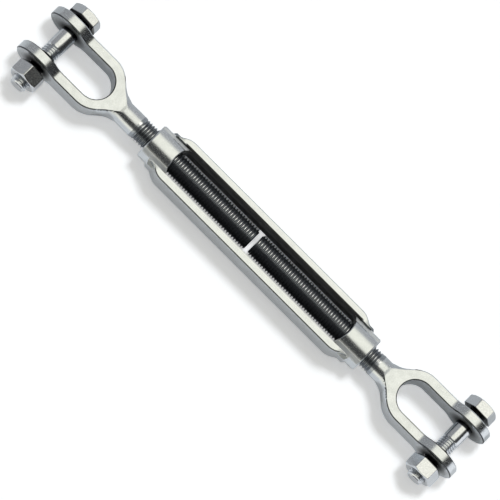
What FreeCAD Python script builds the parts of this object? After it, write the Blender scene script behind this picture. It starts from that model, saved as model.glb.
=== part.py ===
"""Jaw and jaw turnbuckle: a drop-forged open frame that draws two forked jaws together.

The frame is tapped right-hand in one boss and left-hand in the other. Each jaw is one forging with a threaded
shank, and carries a hexagon bolt and nut across its fork. X runs along the threads, Y along the two bolts and
Z up. The origin is at the middle of the frame, on the thread axis. All sizes are in millimetres. Threads are
plain cylinders at their major diameter.
"""
import FreeCAD
import Part

import math
import os

from FreeCAD import Vector

# Frame
FRAME_LENGTH = 187.0
BOSS_DIAMETER = 25.3
BOSS_LENGTH = 18.4
BOSS_BURIED = 6.0
RAIL_OUTER_WIDTH = 32.1
RAIL_INNER_WIDTH = 22.6
RAIL_HEIGHT = 19.7
FLARE_START = 6.8
FLARE_END = 21.5
WINDOW_END_RADIUS = 22.3
BOSS_EDGE_RADIUS = 1.3
WINDOW_EDGE_BEVEL = 0.5
RAIL_EDGE_BEVEL = 0.6
RAIL_TIP_SETBACK = 9.2
WINDOW_CORNER_RADIUS = 4.0
WEB_SLOPE = 42.0
WEB_SINK = 0.02

# Thread of the shanks and its tapped bore
THREAD_DIAMETER = 15.9
BORE_DIAMETER = 16.0
BORE_CHAMFER = 0.9
SHANK_END_CHAMFER = 1.3

# Forked jaw, the same forging at both ends
JAW_GAP = 23.8
JAW_OUTER_WIDTH = 37.1
JAW_HEIGHT = 17.4
EAR_RADIUS = 15.1
EAR_REACH = 1.2
EAR_FILLET = 8.0
EAR_TO_CROTCH = 44.6
CROTCH_TO_SHANK_END = 124.7
NECK_DIAMETER = 15.7
SHOULDER_SLOPE = 39.0
NECK_FILLET = 10.0
ROOT_START = 2.0
JAW_EDGE_BEVEL = 0.65
# How far the fork's root reaches from the axis, neck first, so that its flats run out in a point
ROOT_REACH = ((13.2, NECK_DIAMETER / 2), (8.0, 10.35), (4.9, 12.14), (1.3, 15.05), (-7.5, 27.0))
PIN_HOLE_DIAMETER = 12.18

# Bolts and nuts
BOLT_DIAMETER = 12.0
BOLT_THREAD_DIAMETER = 11.9
BOLT_LENGTH = 57.5
BOLT_THREAD_LENGTH = 34.0
BOLT_END_CHAMFER = 1.0
BOLT_HEAD_HEIGHT = 7.5
HEX_ACROSS_FLATS = 19.0
HEX_CHAMFER_ANGLE = 30.0
NUT_HEIGHT = 10.3
NUT_BORE_DIAMETER = 11.9

# How far cutting shapes stand clear of what they cut
CUTTER_MARGIN = 2.0

# How the two ends stand in the stored pose
LEFT = {
    "name": "left",
    "side": -1,
    "crotch_x": -130.9,
    "crotch_to_pin": 43.9,
    "thread_length": 99.0,
    "head_seat": 21.4,
    "nut_seat": 21.3,
    "head_turn": 14.0,
    "nut_turn": 23.0,
}
RIGHT = {
    "name": "right",
    "side": 1,
    "crotch_x": 121.3,
    "crotch_to_pin": 45.3,
    "thread_length": 105.4,
    "head_seat": 22.7,
    "nut_seat": 21.2,
    "head_turn": 7.0,
    "nut_turn": 4.5,
}

X_AXIS = Vector(1, 0, 0)
Y_AXIS = Vector(0, 1, 0)
Z_AXIS = Vector(0, 0, 1)
ORIGIN = Vector(0, 0, 0)


def line(a, b):
    """A straight edge."""
    return Part.LineSegment(a, b).toShape()


def arc(a, middle, b):
    """A circular edge through three points."""
    return Part.Arc(a, middle, b).toShape()


def extruded(edges, direction):
    """A solid from a closed chain of edges, carried along a direction."""
    return Part.Face(Part.Wire(Part.__sortEdges__(edges))).extrude(direction)


def turned(profile):
    """A solid of revolution about X from (x, radius) points, closed along the axis."""
    points = [Vector(x, 0, r) for x, r in profile]
    points = [Vector(profile[0][0], 0, 0)] + points + [Vector(profile[-1][0], 0, 0)]
    wire = Part.makePolygon(points + [points[0]])
    return Part.Face(wire).revolve(ORIGIN, X_AXIS, 360)


def mirrored(shape, normal):
    """The shape reflected in the plane through the origin with this normal."""
    return shape.mirror(ORIGIN, normal)


def solid_of(shape, name):
    """The one clean solid in a boolean result."""
    clean = shape.removeSplitter()
    assert len(clean.Solids) == 1, f"{name} has {len(clean.Solids)} solids"
    solid = clean.Solids[0]
    assert solid.isValid(), f"{name} is not valid"
    return solid


def rail_outline():
    """One rail in plan: straight inner side, outer side that flares out of each boss in an S of two arcs."""
    inner = RAIL_INNER_WIDTH / 2
    outer = RAIL_OUTER_WIDTH / 2
    end = FRAME_LENGTH / 2
    rise = outer - inner
    run = FLARE_END - FLARE_START
    radius = (run**2 + rise**2) / (4 * rise)
    start_x = end - FLARE_START
    tip_x = end - RAIL_TIP_SETBACK
    full_x = end - FLARE_END
    mid_x = (start_x + full_x) / 2
    mid_y = (inner + outer) / 2

    def on_hollow(x):
        return Vector(x, inner + radius - math.sqrt(radius**2 - (start_x - x) ** 2), 0)

    def on_crown(x):
        return Vector(x, outer - radius + math.sqrt(radius**2 - (x - full_x) ** 2), 0)

    edges = []
    for sign in (-1, 1):
        def at(p):
            return Vector(sign * p.x, p.y, 0)

        tip_in = Vector(tip_x, inner, 0)
        tip_out = on_hollow(tip_x)
        middle = Vector(mid_x, mid_y, 0)
        full = Vector(full_x, outer, 0)
        edges.append(line(at(tip_in), at(tip_out)))
        edges.append(arc(at(tip_out), at(on_hollow((tip_x + mid_x) / 2)), at(middle)))
        edges.append(arc(at(middle), at(on_crown((mid_x + full_x) / 2)), at(full)))
    edges.append(line(Vector(-full_x, outer, 0), Vector(full_x, outer, 0)))
    edges.append(line(Vector(-tip_x, inner, 0), Vector(tip_x, inner, 0)))
    return edges


def rail_envelope():
    """The turned shape that the rails stay inside: it slopes down at 45 degrees to each boss."""
    reach = math.hypot(RAIL_OUTER_WIDTH / 2, RAIL_HEIGHT / 2) + 1.0
    slope_run = reach - BOSS_DIAMETER / 2
    slope_start = FRAME_LENGTH / 2 - FLARE_START
    return turned(
        [
            (-slope_start, BOSS_DIAMETER / 2),
            (-slope_start + slope_run, reach),
            (slope_start - slope_run, reach),
            (slope_start, BOSS_DIAMETER / 2),
        ]
    )


def rail():
    """A flat-topped rail with its outer edges bevelled and its tips sloping down into the bosses."""
    bar = extruded(rail_outline(), Z_AXIS * RAIL_HEIGHT)
    bar.translate(Z_AXIS * (-RAIL_HEIGHT / 2))
    outer = [
        e
        for e in bar.Edges
        if abs(abs(e.CenterOfMass.z) - RAIL_HEIGHT / 2) < 1e-3
        and e.CenterOfMass.y > RAIL_INNER_WIDTH / 2 + RAIL_EDGE_BEVEL
    ]
    bar = bar.makeChamfer(RAIL_EDGE_BEVEL, outer)
    return bar.common(rail_envelope()).removeSplitter()


def window_hollow():
    """The upright shape that hollows the window's right-hand end: a broad arc with rounded corners."""
    inner = RAIL_INNER_WIDTH / 2
    broad = WINDOW_END_RADIUS
    corner = WINDOW_CORNER_RADIUS
    centre_x = FRAME_LENGTH / 2 - BOSS_LENGTH - broad
    corner_y = inner - corner
    corner_x = centre_x + math.sqrt((broad - corner) ** 2 - corner_y**2)
    share = broad / (broad - corner)
    join = (centre_x + (corner_x - centre_x) * share, corner_y * share)
    halfway = (math.pi / 2 + math.atan2(corner_y, corner_x - centre_x)) / 2
    bend = (corner_x + corner * math.cos(halfway), corner_y + corner * math.sin(halfway))
    edges = [arc(Vector(join[0], -join[1], 0), Vector(centre_x + broad, 0, 0), Vector(join[0], join[1], 0))]
    for sign in (-1, 1):
        edges.append(
            arc(
                Vector(join[0], sign * join[1], 0),
                Vector(bend[0], sign * bend[1], 0),
                Vector(corner_x, sign * inner, 0),
            )
        )
        edges.append(line(Vector(corner_x, sign * inner, 0), Vector(0, sign * inner, 0)))
    edges.append(line(Vector(0, -inner, 0), Vector(0, inner, 0)))
    hollow = extruded(edges, Z_AXIS * (2 * BOSS_DIAMETER))
    hollow.translate(Z_AXIS * (-BOSS_DIAMETER))
    return hollow


def web():
    """The sloping web that runs from the right-hand boss's upper side down to the far rail."""
    inner = RAIL_INNER_WIDTH / 2
    slope = math.radians(WEB_SLOPE)
    reach = BOSS_DIAMETER / 2 - WEB_SINK
    on_boss = Vector(0, reach * math.sin(slope), reach * math.cos(slope))
    in_rail_y = (RAIL_INNER_WIDTH + RAIL_OUTER_WIDTH) / 4
    in_rail = Vector(0, in_rail_y, on_boss.z - (in_rail_y - on_boss.y) * math.tan(slope))
    points = [on_boss, in_rail, Vector(0, in_rail_y, 0), Vector(0, inner / 2, 0)]
    edges = [line(a, b) for a, b in zip(points, points[1:] + points[:1])]
    long_web = extruded(edges, X_AXIS * (BOSS_LENGTH + BOSS_BURIED))
    long_web.translate(X_AXIS * (FRAME_LENGTH / 2 - BOSS_LENGTH - BOSS_BURIED))
    return long_web.common(rail_envelope()).removeSplitter()


def boss():
    """The right-hand boss and its webs: turned with an eased rim, then hollowed and bevelled at the window."""
    end = FRAME_LENGTH / 2
    radius = BOSS_DIAMETER / 2
    ease = BOSS_EDGE_RADIUS
    profile = [(end - BOSS_LENGTH - BOSS_BURIED, radius)]
    for degrees in (0, 30, 60, 90):
        angle = math.radians(degrees)
        profile.append((end - ease + ease * math.sin(angle), radius - ease + ease * math.cos(angle)))
    webs = [web()]
    for normal in (Y_AXIS, Z_AXIS):
        webs += [mirrored(w, normal) for w in webs]
    shape = turned(profile).fuse(webs).cut(window_hollow()).removeSplitter()
    inner_end = end - BOSS_LENGTH
    window_rim = [
        e
        for e in shape.Edges
        if inner_end - BOSS_BURIED < e.CenterOfMass.x < inner_end
        and abs(e.CenterOfMass.y) > radius / 4
        and abs(e.CenterOfMass.y) < RAIL_INNER_WIDTH / 2 - 0.01
        and abs(e.CenterOfMass.z) > radius / 2
    ]
    return shape.makeChamfer(WINDOW_EDGE_BEVEL, window_rim)


def frame():
    """Two rails, two bosses and the tapped bores, as one forging."""
    right_boss = boss()
    far_rail = rail()
    body = right_boss.fuse([mirrored(right_boss, X_AXIS), far_rail, mirrored(far_rail, Y_AXIS)])
    end = FRAME_LENGTH / 2
    bore = BORE_DIAMETER / 2
    drill = turned(
        [
            (-end - 1.0, bore + BORE_CHAMFER + 1.0),
            (-end + BORE_CHAMFER, bore),
            (end - BORE_CHAMFER, bore),
            (end + 1.0, bore + BORE_CHAMFER + 1.0),
        ]
    )
    return solid_of(body.cut(drill), "frame")


def fork_plan():
    """The fork in plan, crotch at x = 0 and the shank towards +x: a U inside, round shoulders outside."""
    inner = JAW_GAP / 2
    outer = JAW_OUTER_WIDTH / 2
    neck = NECK_DIAMETER / 2
    centre_x = -inner
    tip_x = -(EAR_TO_CROTCH + EAR_RADIUS + EAR_REACH + CUTTER_MARGIN)
    slope = math.radians(SHOULDER_SLOPE)
    shoulder = (centre_x + outer * math.sin(slope), outer * math.cos(slope))
    shoulder_mid = (centre_x + outer * math.sin(slope / 2), outer * math.cos(slope / 2))
    corner_x = shoulder[0] + (shoulder[1] - neck) / math.tan(slope)
    tangent = NECK_FILLET * math.tan(slope / 2)
    fillet_start = (corner_x - tangent * math.cos(slope), neck + tangent * math.sin(slope))
    fillet_end = (corner_x + tangent, neck)
    fillet_mid = (
        fillet_end[0] - NECK_FILLET * math.sin(slope / 2),
        neck + NECK_FILLET * (1 - math.cos(slope / 2)),
    )
    stem_x = fillet_end[0] + 2.0
    edges = []
    for sign in (-1, 1):
        def at(p):
            return Vector(p[0], sign * p[1], 0)

        edges.append(line(at((tip_x, inner)), at((tip_x, outer))))
        edges.append(line(at((tip_x, outer)), at((centre_x, outer))))
        edges.append(arc(at((centre_x, outer)), at(shoulder_mid), at(shoulder)))
        edges.append(line(at(shoulder), at(fillet_start)))
        edges.append(arc(at(fillet_start), at(fillet_mid), at(fillet_end)))
        edges.append(line(at(fillet_end), at((stem_x, neck))))
        edges.append(line(at((tip_x, inner)), at((centre_x, inner))))
    edges.append(line(Vector(stem_x, -neck, 0), Vector(stem_x, neck, 0)))
    edges.append(arc(Vector(centre_x, -inner, 0), Vector(0, 0, 0), Vector(centre_x, inner, 0)))
    return edges, stem_x


def fork_side(stem_x):
    """The fork from the side: long round ears that run through a hollow fillet into the flat arms."""
    half = JAW_HEIGHT / 2
    neck_start, neck = ROOT_REACH[0]
    ear_x = -EAR_TO_CROTCH
    tip_x = ear_x - EAR_REACH
    run = math.sqrt((EAR_RADIUS + EAR_FILLET) ** 2 - (half + EAR_FILLET) ** 2)
    centre = (ear_x + run, half + EAR_FILLET)
    share = EAR_RADIUS / (EAR_RADIUS + EAR_FILLET)
    join = (ear_x + run * share, centre[1] * share)
    crown = math.radians(45) + math.atan2(join[1], join[0] - ear_x) / 2
    toward_ear = math.atan2(join[1] - centre[1], join[0] - centre[0]) + 2 * math.pi
    hollow = (toward_ear + 1.5 * math.pi) / 2
    middle = (
        centre[0] + EAR_FILLET * math.cos(hollow),
        centre[1] + EAR_FILLET * math.sin(hollow),
    )
    edges = []
    for sign in (-1, 1):
        def at(p):
            return Vector(p[0], 0, sign * p[1])

        over = (ear_x + EAR_RADIUS * math.cos(crown), EAR_RADIUS * math.sin(crown))
        edges.append(line(at((centre[0], half)), at((ROOT_START, half))))
        edges.append(line(at((ROOT_START, half)), at((neck_start, neck))))
        edges.append(line(at((neck_start, neck)), at((stem_x, neck))))
        edges.append(arc(at(join), at(middle), at((centre[0], half))))
        edges.append(arc(at((ear_x, EAR_RADIUS)), at(over), at(join)))
        edges.append(line(at((tip_x, EAR_RADIUS)), at((ear_x, EAR_RADIUS))))
    edges.append(line(Vector(stem_x, 0, -neck), Vector(stem_x, 0, neck)))
    nose = Vector(tip_x - EAR_RADIUS, 0, 0)
    edges.append(arc(Vector(tip_x, 0, -EAR_RADIUS), nose, Vector(tip_x, 0, EAR_RADIUS)))
    return edges


def long_edges(body):
    """The fork's edges that run along its arms and round its ears, without the upright ones."""
    chosen = []
    for edge in body.Edges:
        along = edge.tangentAt((edge.FirstParameter + edge.LastParameter) / 2)
        across = type(edge.Curve).__name__ == "Line" and abs(along.x) < 0.5
        if not across:
            chosen.append(edge)
    return chosen


def fork():
    """The forged fork: its plan and its side view cut from one block, bevelled, and drawn in to the round neck."""
    plan_edges, stem_x = fork_plan()
    high = EAR_RADIUS + CUTTER_MARGIN
    plan = extruded(plan_edges, Z_AXIS * (2 * high))
    plan.translate(Z_AXIS * (-high))
    wide = JAW_OUTER_WIDTH / 2 + CUTTER_MARGIN
    side = extruded(fork_side(stem_x), Y_AXIS * (2 * wide))
    side.translate(Y_AXIS * (-wide))
    block = plan.common(side).removeSplitter()
    block = block.makeChamfer(JAW_EDGE_BEVEL, long_edges(block))
    tip_x = -(EAR_TO_CROTCH + EAR_RADIUS + EAR_REACH + CUTTER_MARGIN)
    profile = [(tip_x, ROOT_REACH[-1][1])] + list(reversed(ROOT_REACH))
    profile.append((stem_x, NECK_DIAMETER / 2))
    return block.common(turned(profile)).removeSplitter()


def jaw(end):
    """One jaw in place: fork, neck and threaded shank in one piece."""
    body = fork()
    neck = NECK_DIAMETER / 2
    thread = THREAD_DIAMETER / 2
    shoulder = CROTCH_TO_SHANK_END - end["thread_length"]
    shank = turned(
        [
            (JAW_GAP / 4, neck),
            (shoulder, neck),
            (shoulder, thread),
            (CROTCH_TO_SHANK_END - SHANK_END_CHAMFER, thread),
            (CROTCH_TO_SHANK_END, thread - SHANK_END_CHAMFER),
        ]
    )
    body = body.fuse(shank)
    hole = Part.makeCylinder(
        PIN_HOLE_DIAMETER / 2, JAW_OUTER_WIDTH + 2,
        Vector(-end["crotch_to_pin"], -JAW_OUTER_WIDTH / 2 - 1, 0), Y_AXIS,
    )
    body = solid_of(body.cut(hole), "jaw")
    if end["side"] > 0:
        body = body.rotate(ORIGIN, Z_AXIS, 180)
    body.translate(X_AXIS * end["crotch_x"])
    return body


def hexagon(height, turn):
    """A hexagonal prism along +Y from y = 0, one flat up and then turned about Y."""
    corner = HEX_ACROSS_FLATS / 2 / math.cos(math.radians(30))
    points = []
    for k in range(7):
        angle = math.radians(60 * k + turn)
        points.append(Vector(corner * math.cos(angle), 0, -corner * math.sin(angle)))
    return Part.Face(Part.makePolygon(points)).extrude(Y_AXIS * height)


def chamfer_body(height, both_ends):
    """The turned shape that takes the corners off a hexagon of this height."""
    corner = HEX_ACROSS_FLATS / 2 / math.cos(math.radians(30)) + 0.5
    face = HEX_ACROSS_FLATS / 2 * 0.96
    drop = (corner - face) * math.tan(math.radians(HEX_CHAMFER_ANGLE))
    profile = [(0, 0), (face, 0), (corner, drop)] if both_ends else [(0, 0), (corner, 0)]
    profile += [(corner, height - drop), (face, height), (0, height)]
    points = [Vector(r, y, 0) for r, y in profile]
    return Part.Face(Part.makePolygon(points + [points[0]])).revolve(ORIGIN, Y_AXIS, 360)


def pin_x(end):
    """Where this end's bolt crosses the thread axis."""
    return end["crotch_x"] + end["side"] * end["crotch_to_pin"]


def bolt(end):
    """A hexagon bolt: head at +Y, shank through both ears, threaded over its last stretch."""
    shank = BOLT_DIAMETER / 2
    thread = BOLT_THREAD_DIAMETER / 2
    profile = [
        (0, 0.5),
        (shank, 0.5),
        (shank, -(BOLT_LENGTH - BOLT_THREAD_LENGTH)),
        (thread, -(BOLT_LENGTH - BOLT_THREAD_LENGTH)),
        (thread, -(BOLT_LENGTH - BOLT_END_CHAMFER)),
        (thread - BOLT_END_CHAMFER, -BOLT_LENGTH),
        (0, -BOLT_LENGTH),
    ]
    points = [Vector(r, y, 0) for r, y in profile]
    rod = Part.Face(Part.makePolygon(points + [points[0]])).revolve(ORIGIN, Y_AXIS, 360)
    head = hexagon(BOLT_HEAD_HEIGHT, end["head_turn"])
    head = head.common(chamfer_body(BOLT_HEAD_HEIGHT, False))
    body = solid_of(head.fuse(rod), "bolt")
    body.translate(Vector(pin_x(end), end["head_seat"], 0))
    return body


def nut(end):
    """A hexagon nut on the bolt's thread, chamfered on both faces."""
    blank = hexagon(NUT_HEIGHT, end["nut_turn"]).common(chamfer_body(NUT_HEIGHT, True))
    bore = Part.makeCylinder(NUT_BORE_DIAMETER / 2, NUT_HEIGHT + 2, Vector(0, -1, 0), Y_AXIS)
    body = solid_of(blank.cut(bore), "nut")
    body.translate(Vector(pin_x(end), -end["nut_seat"] - NUT_HEIGHT, 0))
    return body


def main():
    """Build every piece in place and write one file for each."""
    pieces = {"frame": frame()}
    for end in (LEFT, RIGHT):
        pieces[f"jaw_{end['name']}"] = jaw(end)
        pieces[f"bolt_{end['name']}"] = bolt(end)
        pieces[f"nut_{end['name']}"] = nut(end)
    os.makedirs("parts", exist_ok=True)
    for name, shape in pieces.items():
        shape.exportStep(f"parts/{name}.step")
        box = shape.BoundBox
        print(
            f"{name}: {len(shape.Faces)} faces, {shape.Volume / 1000:.2f} cm3, "
            f"x {box.XMin:.2f} to {box.XMax:.2f}, y {box.YMin:.2f} to {box.YMax:.2f}, "
            f"z {box.ZMin:.2f} to {box.ZMax:.2f}"
        )


main()
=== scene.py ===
"""Jaw and jaw turnbuckle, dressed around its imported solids.

The frame and both jaws are drop forgings with a hot-dip galvanised coat, the shanks are cut M16 x 2 threads, one
right-hand and one left-hand, and each fork is closed by an M12 bolt and nut. Lengths in this file are millimetres
and are turned to metres where a mesh is made. X runs along the threads, Y along the bolts, Z up.
"""
import logging
import math
from dataclasses import dataclass
from enum import Enum
from typing import Any, Callable, Sequence

import bmesh
import bpy
import numpy as np
from mathutils import Matrix, Vector


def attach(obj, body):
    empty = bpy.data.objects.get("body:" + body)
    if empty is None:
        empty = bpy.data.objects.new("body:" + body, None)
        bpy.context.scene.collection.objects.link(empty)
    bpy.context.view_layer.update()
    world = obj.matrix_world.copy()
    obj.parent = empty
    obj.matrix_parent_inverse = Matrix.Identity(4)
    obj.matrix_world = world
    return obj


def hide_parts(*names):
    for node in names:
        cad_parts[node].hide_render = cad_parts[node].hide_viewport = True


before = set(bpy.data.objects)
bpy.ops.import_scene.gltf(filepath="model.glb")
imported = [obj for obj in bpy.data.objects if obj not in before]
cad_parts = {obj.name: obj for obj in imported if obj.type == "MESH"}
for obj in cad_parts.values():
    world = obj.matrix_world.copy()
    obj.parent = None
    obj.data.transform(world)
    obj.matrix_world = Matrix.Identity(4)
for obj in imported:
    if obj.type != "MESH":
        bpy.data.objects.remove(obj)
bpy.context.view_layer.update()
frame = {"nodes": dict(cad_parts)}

MM = 0.001
MERGE = 1e-6

# An edge stays crisp where it turns more than this many degrees.
FORGED_EDGE = 30.0
THREAD_EDGE = 40.0
WORKED_EDGE = 22.0

log = logging.getLogger("turnbuckle")


class Hand(Enum):
    """Which way a thread winds."""

    RIGHT = 1
    LEFT = -1


class Side(Enum):
    """The end of the turnbuckle a piece belongs to, as the sign of its X."""

    LEFT = -1
    RIGHT = 1


class Film(Enum):
    """Where a forging is darkened by a dark film: painted shade with greasy dirt."""

    NOWHERE = "nowhere"
    WINDOW = "on the walls of the frame's window"
    PIN = "round the pin's holes"


PIN_X = {Side.LEFT: -174.8, Side.RIGHT: 166.6}


# Mesh making


def per_mm(size: float) -> float:
    """The pattern scale, in object units of a metre, whose features are about this many millimetres across."""
    return 1.0 / (size * MM)


def make_object(name: str, points: np.ndarray, quads: np.ndarray, sharp_degrees: float) -> bpy.types.Object:
    """Put a computed surface into a mesh object at the origin.

    Args:
        name: the piece's name.
        points: (n, 3) places in millimetres.
        quads: (m, 4) corner numbers; a quad whose corners meet after merging becomes a triangle or goes.
        sharp_degrees: edges that turn more than this stay crisp.

    Returns:
        The linked object, smooth shaded, with doubles merged and normals outwards.
    """
    mesh = bpy.data.meshes.new(name)
    mesh.vertices.add(len(points))
    mesh.vertices.foreach_set("co", (np.asarray(points, np.float32) * MM).ravel())
    mesh.loops.add(quads.size)
    mesh.loops.foreach_set("vertex_index", quads.astype(np.int32).ravel())
    mesh.polygons.add(len(quads))
    mesh.polygons.foreach_set("loop_start", np.arange(0, quads.size, 4, dtype=np.int32))
    mesh.update(calc_edges=True)
    work = bmesh.new()
    work.from_mesh(mesh)
    bmesh.ops.remove_doubles(work, verts=work.verts, dist=MERGE)
    bmesh.ops.dissolve_degenerate(work, dist=MERGE / 10, edges=work.edges)
    bmesh.ops.recalc_face_normals(work, faces=work.faces)
    work.to_mesh(mesh)
    work.free()
    shade(mesh, sharp_degrees)
    piece = bpy.data.objects.new(name, mesh)
    bpy.context.scene.collection.objects.link(piece)
    return piece


def shade(mesh: bpy.types.Mesh, sharp_degrees: float) -> None:
    """Smooth shading that keeps the edges that turn more than this many degrees."""
    mesh.shade_smooth()
    mesh.set_sharp_from_angle(angle=math.radians(sharp_degrees))


def ring_quads(rows: int, columns: int, shift: int = 0) -> np.ndarray:
    """Corner numbers of a grid that closes on itself across its columns, where point (i, j) is i * columns + j.

    Args:
        rows: how many rows the grid has.
        columns: how many points a row has.
        shift: how many rows further on the last column joins the first, so that a helical grid meets itself.

    Returns:
        (m, 4) corner numbers.
    """
    i, j = np.meshgrid(np.arange(rows - 1), np.arange(columns), indexing="ij")
    step = np.where(j == columns - 1, shift, 0)
    following = (j + 1) % columns
    corners = np.stack([i, i + 1, i + 1 + step, i + step], axis=-1).reshape(-1, 4)
    across = np.stack([j, j, following, following], axis=-1).reshape(-1, 4)
    inside = ((corners >= 0) & (corners < rows)).all(axis=1)
    return (corners * columns + across)[inside]


def lathe_rows(profile: Sequence[tuple[float, float]], columns: int) -> np.ndarray:
    """Rows of points turned about X: (x, r cos a, r sin a) for each (x, r) of the profile and each angle a.

    Args:
        profile: (x, radius) of each row.
        columns: how many angles there are.

    Returns:
        (rows, columns, 3) points.
    """
    x, r = np.array(profile, float).T[..., None]
    angle = np.arange(columns) * 2 * math.pi / columns
    return np.stack(np.broadcast_arrays(x, r * np.cos(angle), r * np.sin(angle)), axis=-1)


@dataclass(frozen=True)
class ThreadForm:
    """A metric thread: 60 degree flanks, flat crests an eighth of the pitch wide, and rounded roots."""

    crest_radius: float
    pitch: float
    hand: Hand
    columns: int = 56
    depth_share: float = 0.58
    sixteenths: tuple[float, ...] = (-1.0, 1.0, 3.5, 6.0, 8.0, 10.0, 12.5)

    @property
    def depth(self) -> float:
        """Radial height from root to crest, five eighths of the sharp triangle and a little clearance."""
        return self.depth_share * self.pitch

    @property
    def shift(self) -> int:
        """How many rows on the grid meets itself after a turn."""
        return len(self.sixteenths) * self.hand.value

    def rows(self, outline: Sequence[tuple[float, float]], fade_start: float, fade: float) -> np.ndarray:
        """The threaded surface along X, as a helical grid with a row at each of a pitch's chosen sixteenths.

        Column j stands at angle a and row i starts at u, and its place is x = u + hand * pitch * a / 2 pi, held
        between the outline's ends. The radius is r + f * (min(r, crest - depth * g) - r), where r is the outline's
        at x, f rises from 0 to 1 over the fade, and g rises from 0 on the crest flat to 1 in the rounded root by the
        phase x / pitch - hand * a / 2 pi.

        Args:
            outline: (x, radius) places of the plain rod, which straight lines join.
            fade_start: the x from which the thread deepens.
            fade: the length over which it does.

        Returns:
            (rows, columns, 3) points; rows beyond the ends lie on the end circles and merge away.
        """
        start, end = outline[0][0], outline[-1][0]
        turns = np.arange(math.floor(start / self.pitch) - 2, math.ceil(end / self.pitch) + 3)
        u = (turns[:, None] + np.array(self.sixteenths) / 16).ravel() * self.pitch
        angle = np.arange(self.columns) * 2 * math.pi / self.columns
        lead = self.hand.value * self.pitch * angle / (2 * math.pi)
        x = np.clip(u[:, None] + lead, start, end)
        away = np.abs(((x - lead) / self.pitch + 0.5) % 1.0 - 0.5)
        cut = np.clip((away - 1 / 16) / (5 / 16), 0, 1) + 0.06 * (away > 0.45)
        plain = np.interp(x, *np.array(outline).T)
        deepening = np.clip((x - fade_start) / fade, 0, 1)
        radius = plain + deepening * (np.minimum(plain, self.crest_radius - self.depth * cut) - plain)
        return np.stack([x, radius * np.cos(angle), radius * np.sin(angle)], axis=-1)


def hexagon_radius(angle: np.ndarray, across_flats: float, corner: float) -> np.ndarray:
    """Distance from the axis to a hexagon with rounded corners, at each angle, where a flat faces angle 0.

    On a flat it is a / cos p, with p the angle from the flat's middle. Near a corner it is the far crossing with a
    circle of the corner radius that touches both flats.

    Args:
        angle: the angles in radians.
        across_flats: the hexagon's width.
        corner: the radius of its corners.

    Returns:
        The distances.
    """
    flat = across_flats / 2
    p = np.abs((angle + math.pi / 6) % (math.pi / 3) - math.pi / 6)
    centre = (flat - corner) / math.cos(math.pi / 6)
    away = math.pi / 6 - p
    reach = np.sqrt(np.maximum(corner**2 - (centre * np.sin(away)) ** 2, 0))
    on_corner = flat * np.tan(p) > (flat - corner) * math.tan(math.pi / 6)
    return np.where(on_corner, centre * np.cos(away) + reach, flat / np.cos(p))


def hexagon_angles() -> np.ndarray:
    """Angles round a hexagon, few along each flat and close together at the corners."""
    one = np.radians([-30, -29, -27.5, -26, -18, -8, 2, 12, 20, 26, 27.5, 29])
    return (one[None, :] + np.arange(6)[:, None] * math.pi / 3).ravel()


def grid_object(name: str, blocks: Sequence[tuple[np.ndarray, int]], sharp_degrees: float) -> bpy.types.Object:
    """Join ring grids into one closed piece.

    Args:
        name: the piece's name.
        blocks: the points of each grid, (rows, columns, 3), with its helical shift.
        sharp_degrees: edges that turn more than this stay crisp.

    Returns:
        The object.
    """
    points, quads, start = [], [], 0
    for rows, shift in blocks:
        count, columns = rows.shape[:2]
        points.append(rows.reshape(-1, 3))
        quads.append(ring_quads(count, columns, shift) + start)
        start += count * columns
    return make_object(name, np.concatenate(points), np.concatenate(quads), sharp_degrees)


# Node making


def add_node(tree: bpy.types.NodeTree, kind: str, inputs: dict[Any, Any] | None = None, **settings: Any) -> Any:
    """Add a shader node.

    Args:
        tree: the node tree it goes into.
        kind: the node's type name, without its ShaderNode prefix.
        inputs: socket name or number to a value, or to an output socket that is linked to it.
        settings: the node's own properties.

    Returns:
        The node.
    """
    node = tree.nodes.new("ShaderNode" + kind)
    for key, value in settings.items():
        setattr(node, key, value)
    for key, value in (inputs or {}).items():
        if isinstance(value, bpy.types.NodeSocket):
            tree.links.new(value, node.inputs[key])
        else:
            node.inputs[key].default_value = value
    return node


def set_stops(ramp: Any, stops: Sequence[tuple[float, Any]], start: float = 0.0, end: float = 1.0) -> None:
    """Fill a colour ramp.

    Args:
        ramp: the ramp's node.
        stops: (place, colour) pairs, where a colour is linear with its alpha, or one number for a grey.
        start: the place at the ramp's low end.
        end: the place at its high end.
    """
    elements = ramp.color_ramp.elements
    while len(elements) > 1:
        elements.remove(elements[-1])
    for number, (place, colour) in enumerate(stops):
        position = (place - start) / (end - start)
        element = elements[0] if number == 0 else elements.new(position)
        element.position = position
        element.color = (colour, colour, colour, 1.0) if isinstance(colour, float) else colour


def linear(code: str) -> tuple[float, float, float, float]:
    """Turn a colour into linear light.

    Args:
        code: a six-digit sRGB hex value with its hash sign.

    Returns:
        Linear red, green and blue, and an alpha of 1.
    """
    parts = [int(code[k : k + 2], 16) / 255 for k in (1, 3, 5)]
    r, g, b = (c / 12.92 if c <= 0.04045 else ((c + 0.055) / 1.055) ** 2.4 for c in parts)
    return (r, g, b, 1.0)


def new_material(name: str) -> tuple[bpy.types.Material, bpy.types.NodeTree]:
    """Start a material.

    Args:
        name: the material's name.

    Returns:
        The material, and its node tree, which is empty.
    """
    material = bpy.data.materials.new(name)
    material.use_nodes = True
    material.node_tree.nodes.clear()
    return material, material.node_tree


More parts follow.
